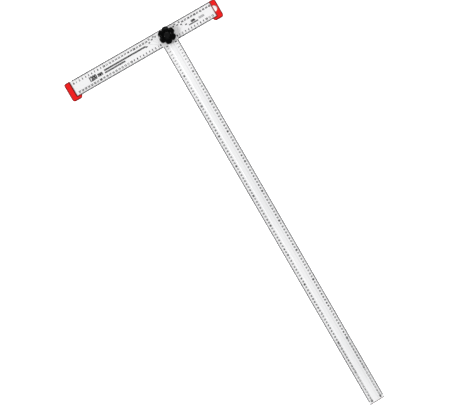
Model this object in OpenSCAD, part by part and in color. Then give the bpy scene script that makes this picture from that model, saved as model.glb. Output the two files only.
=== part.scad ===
// Adjustable T-square: a graduated blade swings on a head (the fence) and is
// clamped at any angle by a star knob on a captive pivot bolt.
//
// The tool lies on its back.  X runs along the head, the blade points to -Y,
// and the printed faces look up (+Z).  Most modules are drawn around the pivot
// axis and then moved, so that the origin is the centre of the tool's footprint.

/* [Head] */
// Width of the head across the fence
head_w = 50; // [46:0.5:54]
// Thickness of the head extrusion
head_t = 9; // [8.5:0.1:10]
// Length of aluminium on the long side of the pivot
head_left = 307; // [250:1:350]
// Length of aluminium on the short side of the pivot
head_right = 154.5; // [120:0.5:200]
// Thickness of the printed top wall
head_top_wall = 1.8; // [1.4:0.1:2]
// Thickness of the back wall
head_back_wall = 1.6; // [1.4:0.1:1.8]
// Thickness of the side and inner walls
head_side_wall = 2.0; // [1.8:0.1:2.4]

/* [Blade] */
// Width of the blade
blade_w = 50; // [46:0.5:52]
// Graduated length, counted from the fence
blade_scale = 1200; // [900:10:1300]
// Stretch past the last mark, end clip included
blade_tail = 10; // [6:0.5:14]
// Thickness of the blade at its edges
blade_t = 2.2; // [1.8:0.1:2.6]
// Height of the stiffening rib above the edges
rib_h = 1.1; // [0.6:0.1:1.4]
// Width of the stiffening rib
rib_w = 13.5; // [12:0.5:18]

/* [End caps] */
// How far a cap stands out past the aluminium
cap_len = 19; // [17:0.5:22]
// How far a foot reaches past the fence, over the board
foot_drop = 8; // [6:0.2:12]
// How far a foot reaches back along the fence
foot_reach = 13; // [10:0.5:16]
// Height of the hanging hole
hang_h = 18.4; // [14:0.2:22]
// Width of the hanging hole
hang_w = 10.8; // [9:0.2:12]

/* [Knob] */
// Diameter over the lobes of the star knob
knob_d = 52; // [46:0.2:54]
// Number of lobes
lobes = 6; // [5:1:7]
// Thickness of the lobed part
knob_t = 14; // [12:0.5:18]

/* [Hidden] */
$fn = 64;

// Clearances: eps joins or clears solids, fit is a running fit's radial gap
eps = 0.01;
fit = 0.05;
face_gap = 0.15;
slip = 0.1;

// Both ends of the blade carry a thin clip: wall, overlap and lip under the blade
clip_wall = 0.8;
clip_grip = 1.2;
clip_under = 0.6;

// Ends of the blade over its clips
blade_top = head_w / 2 - 1;
blade_tip = -head_w / 2 - blade_scale - blade_tail;

// Pivot bolt: M8, hexagon head held in the channel along the head's back
bolt_r = 4;
bolt_af = 13;
bolt_head_h = 5.3;
channel_w = bolt_af + 0.3;
channel_h = 6;
web_hole_r = 4.1;

// Hollow cells on both sides of the channel
cell_in = channel_w / 2 + head_side_wall;
cell_out = head_w / 2 - head_side_wall;
cell_low = head_back_wall;
cell_high = head_t - head_top_wall;
cell_mid = (cell_in + cell_out) / 2;

// Heights of the stack on the bolt, from the head's face upwards
bush_flange_r = 17;
bush_flange_t = 1.2;
bush_sleeve_r = 6;
blade_z = head_t + face_gap + bush_flange_t;
plate_top = blade_z + blade_t;
rib_top = plate_top + rib_h;
washer_r = 12;
washer_hole_r = 4.2;
washer_t = 1.6;
washer_top = rib_top + washer_t;
spring_r = 7.4;
spring_t = 2;
spring_slit = 1.2;
spring_z = washer_top + slip;
knob_z = spring_z + spring_t + slip;

// Knob: hub below, lobed disc above, brass insert, cover disc
hub_r = 11;
hub_h = 4.8;
star_z = knob_z + hub_h;
star_top = star_z + knob_t;
insert_r = 6;
insert_h = 12;
insert_top = knob_z + insert_h;
bolt_tip_z = insert_top + 0.3;
bolt_tip_cone = 0.8;
dish_r = 14.5;
dish_floor_r = 11;
dish_depth = 3.2;
cover_r = 9.5;
cover_t = 1.8;
cover_z = star_top - dish_depth - cover_t;
skirt_in = 12.5;
skirt_out = 17.5;
skirt_depth = 7;
lobe_r = 8.4;
lobe_pitch = knob_d / 2 - lobe_r;
core_r = 21;
knob_turn = 18;

// Pivot's place in the footprint: a lobe stands a little past the head's upper edge
lobe_reach = lobe_r + lobe_pitch * max([for (i = [0:lobes - 1]) sin(knob_turn + i * 360 / lobes)]);
pivot_x = (head_left - head_right) / 2;
pivot_y = -(max(head_w / 2, lobe_reach) + blade_tip) / 2;

// End caps
cap_back = 0.2;
cap_top = 13.4;
foot_z = blade_z - 0.15;
foot_lap = 3.4;
rim_w = 3.4;
rim_drop = 2.2;
panel_h = 0.4;
panel_margin = 3.8;
cap_wall = 2;
pocket_top = 10.6;
pocket_rib = 1.6;
plug_len = 14;
plug_slip = 0.12;
hang_wall = 2.7;

// Cap screws: countersunk self-tapping 2.9 x 6.5
screw_r = 1.45;
screw_head_r = 2.75;
screw_head_h = 1.6;
screw_len = 6.5;
screw_hole_r = 1.6;
screw_sink = 0.1;
screw_x = 7;

// Small chamfer along extruded edges
edge = 0.4;

module at_pivot() translate([pivot_x, pivot_y, 0]) children();

// Runs a profile drawn in (y, z) along X
module along_x(from, to)
    translate([from, 0, 0]) rotate([90, 0, 90]) linear_extrude(height = to - from) children();

// Runs a profile drawn in (x, z) along Y
module along_y(from, to)
    translate([0, to, 0]) rotate([90, 0, 0]) linear_extrude(height = to - from) children();

// Rectangle with its corners cut at 45 degrees
module chamfered(low, high, cut)
    polygon([
        [low[0] + cut, low[1]], [high[0] - cut, low[1]],
        [high[0], low[1] + cut], [high[0], high[1] - cut],
        [high[0] - cut, high[1]], [low[0] + cut, high[1]],
        [low[0], high[1] - cut], [low[0], low[1] + cut]
    ]);

// The sliver outside an arc at a corner; dir is the way out of the corner
module corner_waste(corner, r, dir)
    translate(corner) mirror([dir[0] > 0 ? 1 : 0, 0]) mirror([0, dir[1] > 0 ? 1 : 0])
        difference() {
            translate([-1, -1]) square(r + 1);
            translate([r, r]) circle(r);
        }

module tube(outer, inner, z0, z1)
    translate([0, 0, z0]) difference() {
        cylinder(r = outer, h = z1 - z0);
        translate([0, 0, -1]) cylinder(r = inner, h = z1 - z0 + 2);
    }

// Aluminium head
module head_profile()
    difference() {
        chamfered([-head_w / 2, 0], [head_w / 2, head_t], edge);
        translate([-channel_w / 2, -1]) square([channel_w, channel_h + 1]);
        for (side = [-1, 1])
            translate([side > 0 ? cell_in : -cell_out, cell_low])
                square([cell_out - cell_in, cell_high - cell_low]);
    }

module screw_spots()
    for (side = [-1, 1]) translate([-screw_x, side * cell_mid, 0]) children();

// A cap is drawn with x = 0 at the end of the aluminium and +x outwards
module at_right_end() translate([head_right, 0, 0]) children();
module at_left_end() translate([-head_left, 0, 0]) mirror([1, 0, 0]) children();

module screw_hole() {
    translate([0, 0, -1]) cylinder(r = screw_hole_r, h = head_back_wall + 2);
    translate([0, 0, -eps])
        cylinder(r1 = screw_head_r + 0.1, r2 = screw_hole_r, h = screw_head_h - 0.2);
}

module head_bar()
    color("gainsboro") at_pivot() difference() {
        along_x(-head_left, head_right) head_profile();
        translate([0, 0, channel_h - 1]) cylinder(r = web_hole_r, h = head_t);
        at_left_end() screw_spots() screw_hole();
        at_right_end() screw_spots() screw_hole();
    }

// Outline of a cap seen from above
module cap_outline(outer_r, top_r, foot_r)
    difference() {
        union() {
            translate([0, -head_w / 2 - foot_drop]) square([cap_len, head_w + foot_drop]);
            translate([-foot_reach, -head_w / 2 - foot_drop])
                square([foot_reach + 1, foot_drop + foot_lap]);
        }
        corner_waste([cap_len, -head_w / 2 - foot_drop], outer_r, [1, -1]);
        corner_waste([cap_len, head_w / 2], top_r, [1, 1]);
        corner_waste([-foot_reach, -head_w / 2 - foot_drop], foot_r, [-1, -1]);
    }

// Wedge that slopes a rim down: d = 0 on the edge, d = rim_w where the flat face starts
module rim_wedge(length)
    rotate([90, 0, 0]) translate([0, 0, -length / 2]) linear_extrude(height = length) polygon([
        [-1, cap_top - rim_drop - rim_drop / rim_w],
        [rim_w * 1.2, cap_top + rim_drop * 0.2],
        [-1, cap_top + rim_drop * 0.2]
    ]);

// Sloped rims all round the face, mitred where the foot turns off
module rims() {
    low = -head_w / 2 - foot_drop;
    turn = foot_lap - head_w / 2;
    translate([cap_len, 0, 0]) rotate(180) rim_wedge(2 * head_w);
    translate([0, head_w / 2, 0]) rotate(-90) rim_wedge(3 * cap_len);
    translate([0, low, 0]) rotate(90) rim_wedge(4 * cap_len);
    translate([0, turn + head_w / 2, 0]) rim_wedge(head_w);
    translate([-foot_reach, turn, 0]) rotate(-90) rim_wedge(2 * foot_reach);
    translate([-foot_reach, turn, 0]) rim_wedge(head_w);
    translate([0, turn, cap_top - rim_drop]) cylinder(r1 = 0, r2 = rim_w * 1.2, h = rim_drop * 1.2);
}

// Solid cap: full height beside the head, foot only above the board's face,
// with a lap that rests on the head's front
module cap_block(outer_r, top_r, foot_r)
    difference() {
        union() {
            translate([0, 0, foot_z]) linear_extrude(height = cap_top - foot_z)
                cap_outline(outer_r, top_r, foot_r);
            translate([0, 0, cap_back]) linear_extrude(height = foot_z + 0.5 - cap_back)
                intersection() {
                    cap_outline(outer_r, top_r, foot_r);
                    translate([0, -head_w / 2]) square([cap_len, head_w]);
                }
            translate([-foot_reach, -head_w / 2, head_t])
                cube([foot_reach + 0.5, foot_lap, foot_z + 0.5 - head_t]);
        }
        rims();
    }

module cap_plugs()
    for (side = [-1, 1]) difference() {
        translate([-plug_len, side > 0 ? cell_in + plug_slip : -cell_out + plug_slip, cell_low + plug_slip])
            cube([plug_len + 1, cell_out - cell_in - 2 * plug_slip, cell_high - cell_low - 2 * plug_slip]);
        translate([-screw_x, side * cell_mid, 0]) cylinder(r = screw_r, h = screw_len + 0.4);
    }

// Moulded hollow in the back, between y0 and y1
module cap_pocket(y0, y1)
    translate([cap_wall, y0, cap_back - 1])
        cube([cap_len - 2 * cap_wall, y1 - y0, pocket_top - cap_back + 1]);

module left_end_cap() {
    half = head_w / 2;
    third = (head_w - 2 * cap_wall - 2 * pocket_rib) / 3;
    color("red") at_pivot() at_left_end() {
        difference() {
            cap_block(8, 6, 8);
            for (i = [0:2])
                cap_pocket(-half + cap_wall + i * (third + pocket_rib),
                    -half + cap_wall + i * (third + pocket_rib) + third);
        }
        translate([panel_margin, -half + 5, cap_top - eps])
            cube([cap_len - 2 * panel_margin, head_w - 5 - panel_margin, panel_h + eps]);
        cap_plugs();
    }
}

// D-shaped hanging hole, its straight side next to the head
module hang_outline() {
    straight = hang_w - hang_h / 2;
    translate([hang_wall, -hang_h / 2]) square([straight, hang_h]);
    translate([hang_wall + straight, 0]) intersection() {
        circle(hang_h / 2);
        translate([-eps, -hang_h]) square([hang_h, 2 * hang_h]);
    }
}

module right_end_cap() {
    half = head_w / 2;
    hole_edge = hang_h / 2 + cap_wall;
    color("red") at_pivot() at_right_end() {
        difference() {
            cap_block(8, 4, 8);
            translate([0, 0, -1]) linear_extrude(height = cap_top + 2) hang_outline();
            cap_pocket(-half + cap_wall, -hole_edge);
            cap_pocket(hole_edge, half - 2 * cap_wall);
        }
        cap_plugs();
    }
}

module cap_screw()
    translate([0, 0, screw_sink]) {
        cylinder(r1 = screw_head_r - 0.05, r2 = screw_r, h = screw_head_h - 0.3);
        cylinder(r = screw_r, h = screw_len);
    }

module left_cap_screws() color("silver") at_pivot() at_left_end() screw_spots() cap_screw();
module right_cap_screws() color("silver") at_pivot() at_right_end() screw_spots() cap_screw();

module pivot_bolt()
    color("silver") at_pivot() {
        translate([0, 0, channel_h - bolt_head_h])
            cylinder(r = bolt_af / 2 / cos(30), h = bolt_head_h, $fn = 6);
        translate([0, 0, channel_h - eps]) cylinder(r = bolt_r, h = bolt_tip_z - bolt_tip_cone - channel_h + eps);
        translate([0, 0, bolt_tip_z - bolt_tip_cone])
            cylinder(r1 = bolt_r, r2 = bolt_r - bolt_tip_cone, h = bolt_tip_cone);
    }

// Aluminium blade: flat plate with a raised rib along the middle
module rib_profile(base)
    polygon([
        [-rib_w / 2, base], [rib_w / 2, base], [rib_w / 2, plate_top],
        [rib_w / 2 - edge, rib_top], [-rib_w / 2 + edge, rib_top], [-rib_w / 2, plate_top]
    ]);

module blade()
    color("gainsboro") at_pivot() difference() {
        along_y(blade_tip + clip_wall, blade_top - clip_wall) {
            chamfered([-blade_w / 2, blade_z], [blade_w / 2, plate_top], edge / 2);
            rib_profile(plate_top - eps);
        }
        cylinder(r = bush_sleeve_r, h = rib_top + 1);
    }

// U-shaped clip between end and inner, wrapped over the blade's face and back
module blade_clip(end, inner) {
    step = rib_w / 2 + clip_wall;
    stop = end > inner ? end - clip_wall : end + clip_wall;
    difference() {
        along_y(min(end, inner), max(end, inner)) polygon([
            [-blade_w / 2, blade_z - clip_under], [blade_w / 2, blade_z - clip_under],
            [blade_w / 2, plate_top + clip_wall], [step, plate_top + clip_wall],
            [step - edge, rib_top + clip_wall], [edge - step, rib_top + clip_wall],
            [-step, plate_top + clip_wall], [-blade_w / 2, plate_top + clip_wall]
        ]);
        along_y(min(stop, inner - 1), max(stop, inner + 1)) {
            translate([-blade_w / 2 - 1, blade_z]) square([blade_w + 2, blade_t]);
            rib_profile(plate_top - 1);
        }
    }
}

module blade_top_clip()
    color("#2a1416") at_pivot() blade_clip(blade_top, blade_top - clip_wall - clip_grip);

module blade_tip_clip()
    color("#2a1416") at_pivot() blade_clip(blade_tip, blade_tip + clip_wall + clip_grip);

// Flanged nylon bush: bears on the bolt and keeps the blade off the head
module pivot_bush()
    color("ivory") at_pivot() {
        tube(bush_flange_r, bolt_r + fit, head_t + face_gap, blade_z);
        tube(bush_sleeve_r, bolt_r + fit, blade_z - eps, rib_top - 0.2);
    }

module flat_washer() color("silver") at_pivot() tube(washer_r, washer_hole_r, rib_top, washer_top);

module spring_washer()
    color("dimgray") at_pivot() difference() {
        tube(spring_r, bolt_r + fit, spring_z, spring_z + spring_t);
        translate([bolt_r - 1, -spring_slit / 2, spring_z - 1]) cube([spring_r, spring_slit, spring_t + 2]);
    }

module star_outline()
    rotate(knob_turn) {
        circle(core_r);
        for (i = [0:lobes - 1]) rotate(i * 360 / lobes) translate([lobe_pitch, 0]) circle(lobe_r);
    }

module knob_body()
    color("black") at_pivot() difference() {
        union() {
            translate([0, 0, knob_z]) cylinder(r = hub_r, h = hub_h + 1);
            translate([0, 0, star_z]) linear_extrude(height = knob_t) star_outline();
        }
        translate([0, 0, knob_z - 1]) cylinder(r = insert_r, h = insert_h + 1);
        cylinder(r = bolt_r + 0.5, h = star_top);
        translate([0, 0, cover_z]) cylinder(r = cover_r, h = knob_t);
        translate([0, 0, star_top - dish_depth])
            cylinder(r1 = dish_floor_r, r2 = dish_r, h = dish_depth + eps);
        tube(skirt_out, skirt_in, star_z - 1, star_z + skirt_depth);
    }

module knob_insert() color("goldenrod") at_pivot() tube(insert_r, bolt_r + fit, knob_z, insert_top);

module knob_cover() color("black") at_pivot() translate([0, 0, cover_z]) cylinder(r = cover_r, h = cover_t);

head_bar();
left_end_cap();
right_end_cap();
left_cap_screws();
right_cap_screws();
pivot_bolt();
blade();
blade_top_clip();
blade_tip_clip();
pivot_bush();
flat_washer();
spring_washer();
knob_body();
knob_insert();
knob_cover();
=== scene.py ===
"""Adjustable T-square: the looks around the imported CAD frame.

Lengths in the tables below are millimetres around the pivot axis (x along the head, y away from
the blade), as on a drawing. at() turns them into metres in the frame's own coordinates.
"""
import math

import bmesh
import bpy
from mathutils import Matrix, Vector


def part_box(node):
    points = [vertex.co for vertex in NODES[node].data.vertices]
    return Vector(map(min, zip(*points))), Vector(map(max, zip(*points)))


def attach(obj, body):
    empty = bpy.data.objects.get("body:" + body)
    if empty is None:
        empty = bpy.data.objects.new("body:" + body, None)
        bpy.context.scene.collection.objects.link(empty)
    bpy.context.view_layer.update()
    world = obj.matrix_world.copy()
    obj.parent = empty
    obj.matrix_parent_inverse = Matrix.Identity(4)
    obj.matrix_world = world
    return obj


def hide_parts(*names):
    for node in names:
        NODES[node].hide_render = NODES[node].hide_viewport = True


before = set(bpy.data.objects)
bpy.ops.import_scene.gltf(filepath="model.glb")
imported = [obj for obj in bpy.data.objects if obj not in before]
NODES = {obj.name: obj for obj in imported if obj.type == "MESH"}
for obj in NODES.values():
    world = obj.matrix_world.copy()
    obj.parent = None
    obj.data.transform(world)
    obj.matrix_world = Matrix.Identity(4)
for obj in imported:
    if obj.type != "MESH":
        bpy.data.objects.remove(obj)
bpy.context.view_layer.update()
MM = 0.001

# ---------------------------------------------------------------- places from the frame
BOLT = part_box("pivot_bolt")
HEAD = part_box("head_bar")
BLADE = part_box("blade")
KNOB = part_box("knob_body")
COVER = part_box("knob_cover")
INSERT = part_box("knob_insert")
PIVOT = Vector(((BOLT[0].x + BOLT[1].x) / 2, (BOLT[0].y + BOLT[1].y) / 2, 0))

RIB_HEIGHT = 1.1
HEAD_TOP = HEAD[1].z / MM
PLATE_TOP = BLADE[1].z / MM - RIB_HEIGHT
HALF_HEAD = (HEAD[1].y - HEAD[0].y) / 2 / MM
HALF_BLADE = (BLADE[1].x - BLADE[0].x) / 2 / MM

# ---------------------------------------------------------------- printed marks
HEAD_SCALE = (-300, 155)
PIVOT_MARK = 30
LAST_HEAD_CM = 45
LOW_SCALE_LEFT = 279
LOW_SCALE_RIGHT = 130
# side of the blade and last figure of each half of the fence's scale
FENCE_FIGURES = ((-1, 27), (1, 12))
BLADE_CM = 120
TICK_LENGTHS = {10: 6.6, 5: 5.2, 1: 3.9}
# widths of the mm marks: printed marks drawn wider than the print, so that they also paint in
# the dark shade of the edge chamfers
HEAD_TICK_WITH_EDGE_SHADE = 0.8
BLADE_TICK_WITH_EDGE_SHADE = 0.72
TICK_INSET = 0.2
# ink stands a little above its face and starts a little below it
INK = 0.05
INK_SUNK = 0.03

# height and weight of the figures: (height, weight)
HEAD_FIGURE = (5.0, 0.06)
HEAD_FIGURE_TEN = (5.4, 0.07)
HEAD_FIGURE_CROWDED = 4.2
FENCE_FIGURE_TEN = (5.4, 0.075)
BLADE_FIGURE = (4.6, 0.055)
BLADE_FIGURE_TEN = (5.2, 0.075)
ANGLE_FIGURE = (3.6, 0.07)
# distance of a row of figures from the edge that it counts along
TOP_ROW = 11.6
FENCE_ROW = 9.8
BLADE_ROW = 10.4
# figures beside the angle figures stand this much higher
TOP_ROW_LIFT = 2.6
# a zero stands a little aside of its mark, clear of the corner
TOP_ZERO_SHIFT = 1.2
FENCE_ZERO_SHIFT = 2.6
BLADE_ZERO_SHIFT = 2.4

# place of each angle's figure, right of the blade; mirrored on the left
ANGLES = {75: (36, 16.4), 60: (42.3, 11.7), 45: (52.8, 7.2), 30: (65.6, 0.6)}
RAY_HALF_WIDTH = 0.15
RAY_START = 2
RAY_PAST_FIGURE = 2
RAY_TOP_MARGIN = 8

# text, x, y, height, weight, narrow
SIZE_MARKS = (
    ("1200", -243.5, -0.6, 13.0, 0.07, 0.66),
    ("mm", -220.0, 0.4, 11.5, 0.07, 0.62),
    ("cm", 88.5, 2.0, 7.6, 0.08, 1.0),
)

# ---------------------------------------------------------------- knob
LOBES = 6
KNOB_R = 26.0
KNOB_TURN = 18
STAR_THICKNESS = 14
# depth of the hollows between lobes, and how narrow they are
HOLLOW = 4.9
HOLLOW_POWER = 3.4
INSERT_R = 6.0
BORE_R = 4.5
RECESS_R = 9.5
DISC_R = 9.4
DISH_ARC_R = 5.3
RIM_R = 15.2
CROWN = 1.5
TOP_EDGE_R = 3.6
LOW_EDGE_R = 1.2

# ---------------------------------------------------------------- light and camera
FLOOR_SIDE = 40
FLOOR_Z = -0.0004
FLOOR_GLOW = 0.75
WORLD_LIGHT = 0.5
# name, place from the pivot in metres, side in metres, power in watts
AREA_LIGHTS = (
    ("fill", (0.9, 1.7, 3.0), 1.6, 25),
    ("far_fill", (-0.9, -2.4, 2.6), 1.6, 8),
)
KEY_FROM = (-1.6, 0.3, 1.9)
KEY_ANGLE = 0.25
KEY_STRENGTH = 1.75
CAMERA_FROM_PIVOT = Vector((-360.5, -194.6, 3611.7)) * MM
AIM_FROM_PIVOT = Vector((-94.7, -500.2, 0)) * MM
HEAD_SLOPE = 30.22
FOCAL_LENGTH = 100


def at(x, y, z=0.0):
    return Vector((PIVOT.x + x * MM, PIVOT.y + y * MM, z * MM))


# ================================================================= materials
def material(name, color, roughness, metallic=0.0):
    mat = bpy.data.materials.new(name)
    mat.use_nodes = True
    shader = mat.node_tree.nodes["Principled BSDF"]
    shader.inputs["Base Color"].default_value = (*color, 1)
    shader.inputs["Roughness"].default_value = roughness
    shader.inputs["Metallic"].default_value = metallic
    return mat, shader


def noise(mat, scale, stretch=(1, 1, 1), detail=3.0):
    """Noise in object space; a larger stretch packs the grain closer along that axis."""
    nodes, links = mat.node_tree.nodes, mat.node_tree.links
    coords = nodes.new("ShaderNodeTexCoord")
    mapping = nodes.new("ShaderNodeMapping")
    mapping.inputs["Scale"].default_value = stretch
    texture = nodes.new("ShaderNodeTexNoise")
    texture.inputs["Scale"].default_value = scale
    texture.inputs["Detail"].default_value = detail
    links.new(coords.outputs["Object"], mapping.inputs["Vector"])
    links.new(mapping.outputs["Vector"], texture.inputs["Vector"])
    return texture.outputs["Fac"]


def vary(mat, fac, socket, low, high):
    """Drives a number or a colour of the shader between low and high by fac."""
    nodes, links = mat.node_tree.nodes, mat.node_tree.links
    if isinstance(low, tuple):
        ramp = nodes.new("ShaderNodeValToRGB")
        ramp.color_ramp.elements[0].position = 0.3
        ramp.color_ramp.elements[1].position = 0.7
        ramp.color_ramp.elements[0].color = (*low, 1)
        ramp.color_ramp.elements[1].color = (*high, 1)
        links.new(fac, ramp.inputs["Fac"])
        links.new(ramp.outputs["Color"], socket)
        return
    spread = nodes.new("ShaderNodeMapRange")
    spread.inputs["From Min"].default_value = 0.3
    spread.inputs["From Max"].default_value = 0.7
    spread.inputs["To Min"].default_value = low
    spread.inputs["To Max"].default_value = high
    links.new(fac, spread.inputs["Value"])
    links.new(spread.outputs["Result"], socket)


def bump(mat, shader, fac, depth, strength):
    """Fine relief, depth millimetres high where fac is 1."""
    nodes, links = mat.node_tree.nodes, mat.node_tree.links
    node = nodes.new("ShaderNodeBump")
    node.inputs["Strength"].default_value = strength
    node.inputs["Distance"].default_value = depth * MM
    links.new(fac, node.inputs["Height"])
    links.new(node.outputs["Normal"], shader.inputs["Normal"])


def anodised_aluminium(name, along, light, dark):
    """Satin anodised extrusion with fine drawing lines along one axis."""
    mat, shader = material(name, light, 0.4, 0.35)
    across = tuple(1 if i == along else 60 for i in range(3))
    lines = noise(mat, 14, across, 5)
    vary(mat, noise(mat, 3, detail=2), shader.inputs["Base Color"], dark, light)
    vary(mat, lines, shader.inputs["Roughness"], 0.34, 0.46)
    bump(mat, shader, lines, 0.02, 0.25)
    return mat


def moulded_plastic(name, light, dark, roughness, depth=0.03, gloss=0.5, slope=None):
    """Injection-moulded plastic: fine spark-eroded grain and slightly uneven gloss."""
    mat, shader = material(name, light, roughness)
    shader.inputs["Specular IOR Level"].default_value = gloss
    # slope, when given, is the colour of painted shade on faces that tilt away from straight up
    if slope:
        slope_tone(mat, shader, light, dark, slope)
    else:
        vary(mat, noise(mat, 60), shader.inputs["Base Color"], dark, light)
    vary(mat, noise(mat, 180), shader.inputs["Roughness"], roughness * 0.85, roughness * 1.15)
    bump(mat, shader, noise(mat, 900, detail=4), depth, 0.4)
    return mat


def slope_tone(mat, shader, flat_light, flat_dark, slope):
    """Painted shade: faces that turn away from straight up get the deeper slope colour, in place
    of the shade that falls on sloped flanks.
    """
    nodes, links = mat.node_tree.nodes, mat.node_tree.links
    geometry = nodes.new("ShaderNodeNewGeometry")
    split = nodes.new("ShaderNodeSeparateXYZ")
    links.new(geometry.outputs["Normal"], split.inputs["Vector"])
    # mask of the painted shade: steep faces take the slope colour, flat faces the plastic's own
    # colour
    spread = nodes.new("ShaderNodeMapRange")
    spread.inputs["From Min"].default_value = 0.86
    spread.inputs["From Max"].default_value = 0.985
    links.new(split.outputs["Z"], spread.inputs["Value"])
    blend = nodes.new("ShaderNodeMix")
    blend.data_type = "RGBA"
    cloud = nodes.new("ShaderNodeValToRGB")
    cloud.color_ramp.elements[0].color = (*flat_dark, 1)
    cloud.color_ramp.elements[1].color = (*flat_light, 1)
    links.new(noise(mat, 60), cloud.inputs["Fac"])
    links.new(spread.outputs["Result"], blend.inputs["Factor"])
    blend.inputs["A"].default_value = (*slope, 1)
    links.new(cloud.outputs["Color"], blend.inputs["B"])
    links.new(blend.outputs["Result"], shader.inputs["Base Color"])


def plated_steel(name, light, dark, roughness):
    """Zinc-plated or phosphated steel: cloudy colour and turned, slightly worn gloss."""
    mat, shader = material(name, light, roughness, 1.0)
    vary(mat, noise(mat, 250), shader.inputs["Base Color"], dark, light)
    wear = noise(mat, 700, detail=5)
    vary(mat, wear, shader.inputs["Roughness"], roughness * 0.7, roughness * 1.3)
    bump(mat, shader, noise(mat, 1500, detail=2), 0.02, 0.3)
    return mat


def ink(name, color, worn):
    """Screen-printed ink with slightly uneven cover."""
    mat, shader = material(name, color, 0.5)
    shader.inputs["Specular IOR Level"].default_value = 0.15
    vary(mat, noise(mat, 1200, detail=4), shader.inputs["Base Color"], color, worn)
    vary(mat, noise(mat, 400), shader.inputs["Roughness"], 0.42, 0.6)
    return mat


ALUMINIUM = ((0.92, 0.92, 0.925), (0.86, 0.86, 0.87))
HEAD_METAL = anodised_aluminium("head_aluminium", 0, *ALUMINIUM)
BLADE_METAL = anodised_aluminium("blade_aluminium", 1, *ALUMINIUM)
# the caps' sloped rims get painted shade in the slope colour
CAP_PLASTIC = moulded_plastic("cap_plastic", (0.84, 0.003, 0.003), (0.72, 0.0015, 0.0015), 0.36,
                              gloss=0.22, slope=(0.2, 0.0005, 0.0005))
CLIP_PLASTIC = moulded_plastic("clip_plastic", (0.05, 0.016, 0.018), (0.035, 0.012, 0.014), 0.45)
KNOB_PLASTIC = moulded_plastic("knob_plastic", (0.0009, 0.0009, 0.001), (0.0005, 0.0005, 0.0006),
                               0.17, depth=0.05, gloss=0.06)
COVER_PLASTIC = moulded_plastic("cover_plastic", (0.002, 0.002, 0.0022), (0.001, 0.001, 0.0012),
                                0.2, gloss=0.2)
NYLON = moulded_plastic("bush_nylon", (0.86, 0.83, 0.74), (0.8, 0.77, 0.67), 0.5)
BOLT_STEEL = plated_steel("bolt_steel", (0.66, 0.67, 0.7), (0.5, 0.51, 0.53), 0.35)
SCREW_STEEL = plated_steel("screw_steel", (0.68, 0.69, 0.71), (0.52, 0.53, 0.55), 0.32)
WASHER_STEEL = plated_steel("washer_steel", (0.7, 0.71, 0.73), (0.55, 0.56, 0.58), 0.3)
SPRING_STEEL = plated_steel("spring_steel", (0.3, 0.31, 0.33), (0.16, 0.16, 0.17), 0.4)
BRASS = plated_steel("insert_brass", (0.78, 0.57, 0.25), (0.62, 0.43, 0.17), 0.3)
BLACK_INK = ink("black_ink", (0.008, 0.008, 0.009), (0.03, 0.03, 0.03))
GREY_INK = ink("grey_ink", (0.28, 0.28, 0.29), (0.4, 0.4, 0.41))

# CAD node: material, width of its rounded edges, segments across them
CAD_LOOKS = {
    "head_bar": (HEAD_METAL, 0.25, 2),
    "blade": (BLADE_METAL, 0.2, 2),
    "left_end_cap": (CAP_PLASTIC, 0.7, 3),
    "right_end_cap": (CAP_PLASTIC, 0.7, 3),
    "blade_top_clip": (CLIP_PLASTIC, 0.2, 2),
    "blade_tip_clip": (CLIP_PLASTIC, 0.2, 2),
    "pivot_bolt": (BOLT_STEEL, 0.35, 2),
    "pivot_bush": (NYLON, 0.2, 2),
    "flat_washer": (WASHER_STEEL, 0.2, 2),
    "spring_washer": (SPRING_STEEL, 0.2, 2),
    "knob_insert": (BRASS, 0.2, 2),
}

# name, first and last x, middle y, height, pitch, ink: plain strokes where small print would be
HATCH_BANDS = (
    ("fine_band_upper", -205, -66, 3.2, 4.8, 1.6, BLACK_INK),
    ("fine_band_lower", -206, -138, -3.8, 4.5, 1.6, BLACK_INK),
    ("fine_band_right", 72, 103, -5.2, 3.4, 1.4, BLACK_INK),
    ("grey_band_right", 107, 126, -1.2, 6.4, 2.2, GREY_INK),
)
HATCH_COVER = 0.9


# ================================================================= mesh helpers
def add_object(name, mesh, mat, body):
    """Puts a mesh in the scene with one material, riding its body."""
    obj = bpy.data.objects.new(name, mesh)
    bpy.context.scene.collection.objects.link(obj)
    mesh.materials.clear()
    mesh.materials.append(mat)
    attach(obj, body)
    return obj


def mesh_from(bm, name, smooth=False):
    bmesh.ops.recalc_face_normals(bm, faces=bm.faces)
    mesh = bpy.data.meshes.new(name)
    bm.to_mesh(mesh)
    bm.free()
    if smooth:
        mesh.shade_smooth()
        mesh.set_sharp_from_angle(angle=math.radians(35))
    return mesh


def soften(node, mat, width, segments):
    """Gives a CAD node its material and small rounded edges."""
    obj = NODES[node]
    for i in range(max(1, len(obj.material_slots))):
        if not obj.material_slots:
            obj.data.materials.append(mat)
        obj.material_slots[i].material = mat
    weld = obj.modifiers.new("weld", "WELD")
    weld.merge_threshold = 0.002 * MM
    bevel = obj.modifiers.new("round_edges", "BEVEL")
    bevel.width = width * MM
    bevel.segments = segments
    bevel.limit_method = "ANGLE"
    bevel.angle_limit = math.radians(40)
    bevel.harden_normals = False


def add_box(bm, low, high):
    """One thin closed block in the frame's coordinates; low and high are at() points."""
    corners = [
        bm.verts.new((x, y, z))
        for z in (low.z, high.z)
        for y in (low.y, high.y)
        for x in (low.x, high.x)
    ]
    for face in (
        (0, 2, 3, 1), (4, 5, 7, 6), (0, 1, 5, 4), (2, 6, 7, 3), (0, 4, 6, 2), (1, 3, 7, 5)
    ):
        bm.faces.new([corners[i] for i in face])


def ring_surface(rings, name, closed):
    """Skins a stack of equal rings; closed joins the last ring to the first."""
    bm = bmesh.new()
    rows = [[bm.verts.new(p) for p in ring] for ring in rings]
    pairs = list(zip(rows, rows[1:] + rows[:1])) if closed else list(zip(rows, rows[1:]))
    for low, high in pairs:
        for i in range(len(low)):
            j = (i + 1) % len(low)
            bm.faces.new((low[i], low[j], high[j], high[i]))
    if not closed:
        bm.faces.new(list(reversed(rows[0])))
        bm.faces.new(rows[-1])
    return mesh_from(bm, name, smooth=True)


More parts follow.
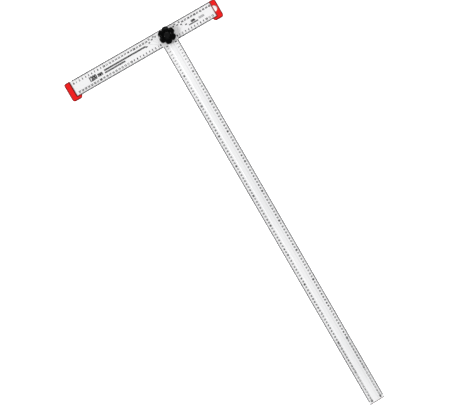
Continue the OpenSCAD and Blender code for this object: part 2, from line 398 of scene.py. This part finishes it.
def revolve(profile, name, closed=False, steps=96, centre=(0, 0)):
    """Turns (radius, height) points in millimetres about the vertical through centre."""
    rings = [
        [
            at(centre[0] + r * math.cos(2 * math.pi * i / steps),
               centre[1] + r * math.sin(2 * math.pi * i / steps), z)
            for i in range(steps)
        ]
        for r, z in profile
    ]
    return ring_surface(rings, name, closed)


# ================================================================= printed marks
def tick_length(index):
    """Length of the millimetre mark with this number."""
    return next(length for step, length in TICK_LENGTHS.items() if index % step == 0)


def tick_across(bm, x, edge_y, inward, length, surface):
    """A mark at x that starts on an edge along the head and points inward."""
    ends = sorted((edge_y + inward * TICK_INSET, edge_y + inward * length))
    # the mark's width also paints in the shade of the head's edge
    add_box(bm, at(x - HEAD_TICK_WITH_EDGE_SHADE / 2, ends[0], surface - INK_SUNK),
            at(x + HEAD_TICK_WITH_EDGE_SHADE / 2, ends[1], surface + INK))


def tick_along(bm, y, edge_x, inward, length, surface):
    """A mark at y that starts on an edge of the blade and points inward."""
    ends = sorted((edge_x + inward * TICK_INSET, edge_x + inward * length))
    # the mark's width also paints in the shade of the blade's edge
    add_box(bm, at(ends[0], y - BLADE_TICK_WITH_EDGE_SHADE / 2, surface - INK_SUNK),
            at(ends[1], y + BLADE_TICK_WITH_EDGE_SHADE / 2, surface + INK))


def head_ticks():
    bm = bmesh.new()
    for i in range(HEAD_SCALE[1] - HEAD_SCALE[0] + 1):
        tick_across(bm, HEAD_SCALE[0] + i, HALF_HEAD, -1, tick_length(i), HEAD_TOP)
    for i in range(LOW_SCALE_LEFT + 1):
        tick_across(bm, -HALF_BLADE - i, -HALF_HEAD, 1, tick_length(i), HEAD_TOP)
    for i in range(LOW_SCALE_RIGHT + 1):
        tick_across(bm, HALF_BLADE + i, -HALF_HEAD, 1, tick_length(i), HEAD_TOP)
    add_object("head_scale_ticks", mesh_from(bm, "head_scale_ticks"), BLACK_INK, "head")


def blade_ticks():
    bm = bmesh.new()
    for i in range(BLADE_CM * 10 + 1):
        for side in (-1, 1):
            tick_along(bm, -HALF_HEAD - i, side * HALF_BLADE, -side, tick_length(i), PLATE_TOP)
    add_object("blade_scale_ticks", mesh_from(bm, "blade_scale_ticks"), BLACK_INK, "blade_arm")


class Printer:
    """Collects lettering as thin closed meshes on a flat face."""

    def __init__(self, name, surface):
        self.name = name
        self.surface = surface
        self.bm = bmesh.new()
        self.curve = bpy.data.curves.new(name + "_text", "FONT")
        self.curve.align_x = "CENTER"
        self.curve.align_y = "CENTER"
        self.curve.resolution_u = 2
        self.curve.extrude = 0.5
        self.holder = bpy.data.objects.new(name + "_text", self.curve)
        self.cache = {}

    def letters(self, text, weight):
        if (text, weight) not in self.cache:
            self.curve.body = text
            self.curve.offset = weight
            graph = bpy.context.evaluated_depsgraph_get()
            mesh = bpy.data.meshes.new_from_object(self.holder.evaluated_get(graph))
            self.cache[(text, weight)] = mesh
        return self.cache[(text, weight)]

    def put(self, text, x, y, height, turn=0.0, weight=0.0, narrow=1.0):
        """Writes text centred at (x, y); height is that of a capital or a figure."""
        size = height / 0.7 * MM
        place = (
            Matrix.Translation(at(x, y, self.surface + (INK - INK_SUNK) / 2))
            @ Matrix.Rotation(math.radians(turn), 4, "Z")
            @ Matrix.Diagonal((size * narrow, size, (INK + INK_SUNK) * MM, 1))
        )
        mesh = self.letters(text, weight).copy()
        mesh.transform(place)
        self.bm.from_mesh(mesh)
        bpy.data.meshes.remove(mesh)

    def finish(self, mat, body):
        bmesh.ops.remove_doubles(self.bm, verts=self.bm.verts, dist=0.001 * MM)
        mesh = mesh_from(self.bm, self.name)
        for letters in self.cache.values():
            bpy.data.meshes.remove(letters)
        bpy.data.objects.remove(self.holder)
        bpy.data.curves.remove(self.curve)
        add_object(self.name, mesh, mat, body)


def head_numbers():
    """Centimetres along the top edge, and outwards from the blade along the fence."""
    printer = Printer("head_scale_numbers", HEAD_TOP)
    row = HALF_HEAD - TOP_ROW
    low_row = FENCE_ROW - HALF_HEAD
    for cm in range(LAST_HEAD_CM + 1):
        x = 10 * (cm - PIVOT_MARK)
        # angle figures stand here
        if abs(x) == 40:
            continue
        height, weight = HEAD_FIGURE_TEN if cm % 10 == 0 else HEAD_FIGURE
        if 20 < abs(x) < 60:
            height = HEAD_FIGURE_CROWDED
        y = row + TOP_ROW_LIFT if abs(x) == 50 else row
        shift = TOP_ZERO_SHIFT if cm == 0 else 0
        printer.put(str(cm), x + shift, y, height, weight=weight)
    for side, last in FENCE_FIGURES:
        for cm in range(last + 1):
            x = side * (HALF_BLADE + 10 * cm + (FENCE_ZERO_SHIFT if cm == 0 else 0))
            height, weight = FENCE_FIGURE_TEN if cm % 10 == 0 else HEAD_FIGURE
            printer.put(str(cm), x, low_row, height, weight=weight)
    printer.finish(BLACK_INK, "head")


def blade_numbers():
    """Centimetres from the fence along both edges, read from the fence outwards."""
    printer = Printer("blade_scale_numbers", PLATE_TOP)
    row = HALF_BLADE - BLADE_ROW
    for cm in range(BLADE_CM + 1):
        y = -HALF_HEAD - 10 * cm - (BLADE_ZERO_SHIFT if cm == 0 else 0)
        height, weight = BLADE_FIGURE_TEN if cm % 10 == 0 else BLADE_FIGURE
        for side in (-1, 1):
            printer.put(str(cm), side * row, y, height, turn=-90, weight=weight, narrow=0.85)
    printer.finish(BLACK_INK, "blade_arm")


def angle_scale():
    """Rays that the blade's upper corner edge meets at each angle, with their figures."""
    lines = bmesh.new()
    for angle, (x, y) in ANGLES.items():
        a = math.radians(angle)
        reach = math.hypot(x, y) + RAY_PAST_FIGURE
        end = math.sqrt(reach**2 - HALF_BLADE**2)
        for side in (-1, 1):
            along = Vector((side * math.cos(a), math.sin(a)))
            touch = Vector((side * math.sin(a), -math.cos(a))) * HALF_BLADE
            across = Vector((-along.y, along.x)) * RAY_HALF_WIDTH
            top = min(end, (HALF_HEAD - RAY_TOP_MARGIN - touch.y) / along.y)
            add_ray(lines, touch + along * RAY_START, touch + along * top, across)
    add_object("angle_lines", mesh_from(lines, "angle_lines"), GREY_INK, "head")
    printer = Printer("angle_numbers", HEAD_TOP)
    height, weight = ANGLE_FIGURE
    for angle, (x, y) in ANGLES.items():
        for side in (-1, 1):
            printer.put(str(angle), side * x, y, height, weight=weight, narrow=1.2)
    printer.finish(BLACK_INK, "head")


def add_ray(bm, start, end, across):
    """A thin closed strip between two flat points."""
    flat = [start - across, end - across, end + across, start + across]
    low = [bm.verts.new(at(p.x, p.y, HEAD_TOP - INK_SUNK)) for p in flat]
    high = [bm.verts.new(at(p.x, p.y, HEAD_TOP + INK)) for p in flat]
    bm.faces.new(list(reversed(low)))
    bm.faces.new(high)
    for i in range(4):
        j = (i + 1) % 4
        bm.faces.new((low[i], low[j], high[j], high[i]))


def size_marks():
    """Size and unit of the scales, in plain upright letters."""
    printer = Printer("size_marks", HEAD_TOP)
    for text, x, y, height, weight, narrow in SIZE_MARKS:
        printer.put(text, x, y, height, weight=weight, narrow=narrow)
    printer.finish(BLACK_INK, "head")


def hatch_band(name, x0, x1, y, height, pitch, mat):
    """A printed band of short upright strokes."""
    bm = bmesh.new()
    for i in range(int((x1 - x0) / pitch)):
        x = x0 + i * pitch
        add_box(bm, at(x, y - height / 2, HEAD_TOP - INK_SUNK),
                at(x + pitch * HATCH_COVER, y + height / 2, HEAD_TOP + INK))
    add_object(name, mesh_from(bm, name), mat, "head")


# ================================================================= knob
def star_radius(angle):
    """Broad lobes with narrower hollows between them, turned with the CAD star."""
    wave = math.cos(LOBES * (angle - math.radians(KNOB_TURN)))
    return KNOB_R - HOLLOW * ((1 - wave) / 2) ** HOLLOW_POWER


def knob_ring(radius, lobed, z, steps=240):
    """A ring between a circle (lobed 0) and the star's outline inset to radius (lobed 1)."""
    points = []
    for i in range(steps):
        angle = 2 * math.pi * i / steps
        r = radius * (1 - lobed) + (star_radius(angle) - (KNOB_R - radius)) * lobed
        points.append(at(r * math.cos(angle), r * math.sin(angle), z))
    return points


def arc(cx, cz, r, start, stop, count=6):
    """(radius, height) points on a circle in the profile plane, angles in degrees."""
    return [
        (cx + r * math.cos(math.radians(start + (stop - start) * i / count)),
         cz + r * math.sin(math.radians(start + (stop - start) * i / count)))
        for i in range(count + 1)
    ]


def star_knob():
    """The knob's body as one skin: bore, recess, dish, crowned lobes, hollow underside, hub."""
    base = KNOB[0].z / MM
    top = KNOB[1].z / MM
    insert_top = INSERT[1].z / MM
    recess = COVER[0].z / MM
    floor = COVER[1].z / MM
    low = top - STAR_THICKNESS
    rim_low = top - CROWN
    # bore, insert seat and cover recess, then the dish's hollow and its rounded rim
    turned = [
        (INSERT_R, base), (INSERT_R, insert_top), (BORE_R, insert_top), (BORE_R, recess),
        (RECESS_R, recess), (RECESS_R, floor - 0.25),
        *arc(RECESS_R + 0.3, floor + DISH_ARC_R, DISH_ARC_R, -90, -31, 8),
        *arc(RIM_R, top - 0.8, 0.8, 150, 80, 5),
    ]
    rings = [knob_ring(r, 0, z) for r, z in turned]
    # crowned face that runs out into the lobes
    face_end = KNOB_R - TOP_EDGE_R
    for share in (0.25, 0.5, 0.75):
        r = RIM_R + (face_end - RIM_R) * share
        rings.append(knob_ring(r, share**1.5, top - CROWN * share**2))
    # upper edge, side and lower edge
    rings += [knob_ring(r, 1, z) for r, z in (
        *arc(face_end, rim_low - TOP_EDGE_R, TOP_EDGE_R, 90, 0, 7),
        *arc(KNOB_R - LOW_EDGE_R, low + LOW_EDGE_R, LOW_EDGE_R, 0, -90, 4),
    )]
    # hollow underside around the hub
    rings += [knob_ring(r, 0, z) for r, z in (
        (18.2, low), (17.6, low + 0.4), (17.4, low + 6.6), (17.0, low + 7), (13.0, low + 7),
        (12.6, low + 6.6), (12.4, low + 0.2), (11.4, low), (11.0, low - 0.6), (10.8, base + 0.5),
        (10.3, base),
    )]
    mesh = ring_surface(rings, "star_knob", closed=True)
    knob = add_object("star_knob", mesh, KNOB_PLASTIC, "knob")
    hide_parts("knob_body")


def knob_disc():
    """Cover disc: domed, with a gate mark in the middle."""
    low = COVER[0].z / MM
    top = COVER[1].z / MM
    dome = top + 0.9
    profile = [
        (0.02, low), (DISC_R - 0.2, low), (DISC_R, low + 0.2), (DISC_R, top - 0.4),
        *arc(DISC_R - 2.0, top - 1.2, 2.0, 12, 82, 8),
        (4.5, dome), (1.9, dome), (1.7, top + 0.6), (0.02, top + 0.56),
    ]
    mesh = revolve(profile, "knob_disc")
    disc = add_object("knob_disc", mesh, COVER_PLASTIC, "knob")
    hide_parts("knob_cover")


# ================================================================= fasteners
def cross_cutter(x, y, z, depth, arm, width):
    """A tapered cross, used to sink the drive into a screw's head."""
    bm = bmesh.new()
    outline = [(-arm, -width), (arm, -width), (arm, width), (-arm, width)]
    for turn in (0, 90):
        place = Matrix.Translation(at(x, y, z)) @ Matrix.Rotation(math.radians(turn), 4, "Z")
        lower = [
            bm.verts.new(place @ Vector((px * MM, py * MM, -0.5 * MM))) for px, py in outline
        ]
        upper = [
            bm.verts.new(place @ Vector((px * 0.45 * MM, py * 0.7 * MM, depth * MM)))
            for px, py in outline
        ]
        bm.faces.new(list(reversed(lower)))
        bm.faces.new(upper)
        for i in range(4):
            j = (i + 1) % 4
            bm.faces.new((lower[i], lower[j], upper[j], upper[i]))
    obj = bpy.data.objects.new("cross", mesh_from(bm, "cross"))
    bpy.context.scene.collection.objects.link(obj)
    return obj


def screw_mesh(x, y, z0, z1):
    """Countersunk self-tapping screw, head down, its thread as a stack of rings."""
    shaft, crest, pitch, head_r = 1.12, 1.42, 1.1, 2.68
    profile = [(0.02, z0), (2.45, z0), (head_r, z0 + 0.12), (head_r, z0 + 0.22),
               (crest, z0 + 1.35)]
    z = z0 + 1.5
    while z + pitch < z1 - 0.9:
        profile += [(shaft, z), (shaft, z + pitch * 0.5), (crest, z + pitch * 0.75)]
        z += pitch
    profile += [(shaft, z), (shaft * 0.8, z1 - 0.5), (0.3, z1), (0.02, z1)]
    return revolve(profile, "cap_screw", steps=40, centre=(x, y))


def cap_screws(node):
    """Both screws of one cap, with their cross drives."""
    low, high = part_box(node)
    x = (low.x + high.x) / 2 / MM - PIVOT.x / MM
    head_r = (high.x - low.x) / 2 / MM
    bm = bmesh.new()
    for y in (low.y / MM - PIVOT.y / MM + head_r, high.y / MM - PIVOT.y / MM - head_r):
        mesh = screw_mesh(x, y, low.z / MM, high.z / MM)
        holder = bpy.data.objects.new("screw_blank", mesh)
        bpy.context.scene.collection.objects.link(holder)
        cutter = cross_cutter(x, y, low.z / MM, depth=1.1, arm=1.5, width=0.32)
        cut = holder.modifiers.new("drive", "BOOLEAN")
        cut.object = cutter
        cut.solver = "EXACT"
        cut.use_self = True
        graph = bpy.context.evaluated_depsgraph_get()
        result = bpy.data.meshes.new_from_object(holder.evaluated_get(graph))
        bm.from_mesh(result)
        bpy.data.meshes.remove(result)
        bpy.data.objects.remove(holder)
        bpy.data.objects.remove(cutter)
    name = node + "_cross"
    screws = add_object(name, mesh_from(bm, name, smooth=True), SCREW_STEEL, "head")
    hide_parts(node)


# ================================================================= scene
def add_lamp(name, kind, place, energy):
    """A lamp at a place from the pivot in metres, aimed at the pivot."""
    lamp = bpy.data.lights.new(name, kind)
    lamp.energy = energy
    obj = bpy.data.objects.new(name, lamp)
    bpy.context.scene.collection.objects.link(obj)
    obj.location = PIVOT + Vector(place)
    aim = PIVOT - obj.location
    obj.rotation_euler = aim.to_track_quat("-Z", "Y").to_euler()
    return lamp


def stage_and_light():
    """Pale glowing light table, key from the upper left, soft fill, bright surroundings."""
    bpy.ops.mesh.primitive_plane_add(size=FLOOR_SIDE, location=(0, 0, FLOOR_Z))
    floor = bpy.context.active_object
    floor.name = "floor"
    mat, shader = material("floor_acrylic", (0.93, 0.93, 0.93), 0.9)
    shader.inputs["Specular IOR Level"].default_value = 0.1
    shader.inputs["Emission Color"].default_value = (1, 1, 1, 1)
    shader.inputs["Emission Strength"].default_value = FLOOR_GLOW
    floor.data.materials.append(mat)
    world = bpy.data.worlds.new("studio")
    bpy.context.scene.world = world
    world.use_nodes = True
    background = world.node_tree.nodes["Background"]
    background.inputs["Color"].default_value = (1, 1, 1, 1)
    background.inputs["Strength"].default_value = WORLD_LIGHT
    add_lamp("key", "SUN", KEY_FROM, KEY_STRENGTH).angle = KEY_ANGLE
    for name, place, size, power in AREA_LIGHTS:
        lamp = add_lamp(name, "AREA", place, power)
        lamp.shape = "SQUARE"
        lamp.size = size


def camera():
    """Looks almost straight down, turned so that the head climbs to the right."""
    lens = bpy.data.cameras.new("camera")
    lens.sensor_width = 36
    lens.lens = FOCAL_LENGTH
    lens.clip_end = 60
    obj = bpy.data.objects.new("camera", lens)
    bpy.context.scene.collection.objects.link(obj)
    place = PIVOT + CAMERA_FROM_PIVOT
    forward = (PIVOT + AIM_FROM_PIVOT - place).normalized()
    slope = math.radians(HEAD_SLOPE)
    hint = Vector((math.sin(slope), math.cos(slope), 0))
    right = forward.cross(hint).normalized()
    up = right.cross(forward)
    obj.matrix_world = Matrix(
        (
            (right.x, up.x, -forward.x, place.x),
            (right.y, up.y, -forward.y, place.y),
            (right.z, up.z, -forward.z, place.z),
            (0, 0, 0, 1),
        )
    )
    bpy.context.scene.camera = obj


camera()
stage_and_light()
for node, look in CAD_LOOKS.items():
    soften(node, *look)
star_knob()
knob_disc()
cap_screws("left_cap_screws")
cap_screws("right_cap_screws")
head_ticks()
blade_ticks()
head_numbers()
blade_numbers()
angle_scale()
size_marks()
for band in HATCH_BANDS:
    hatch_band(*band)

bpy.context.scene.view_settings.view_transform = "Standard"
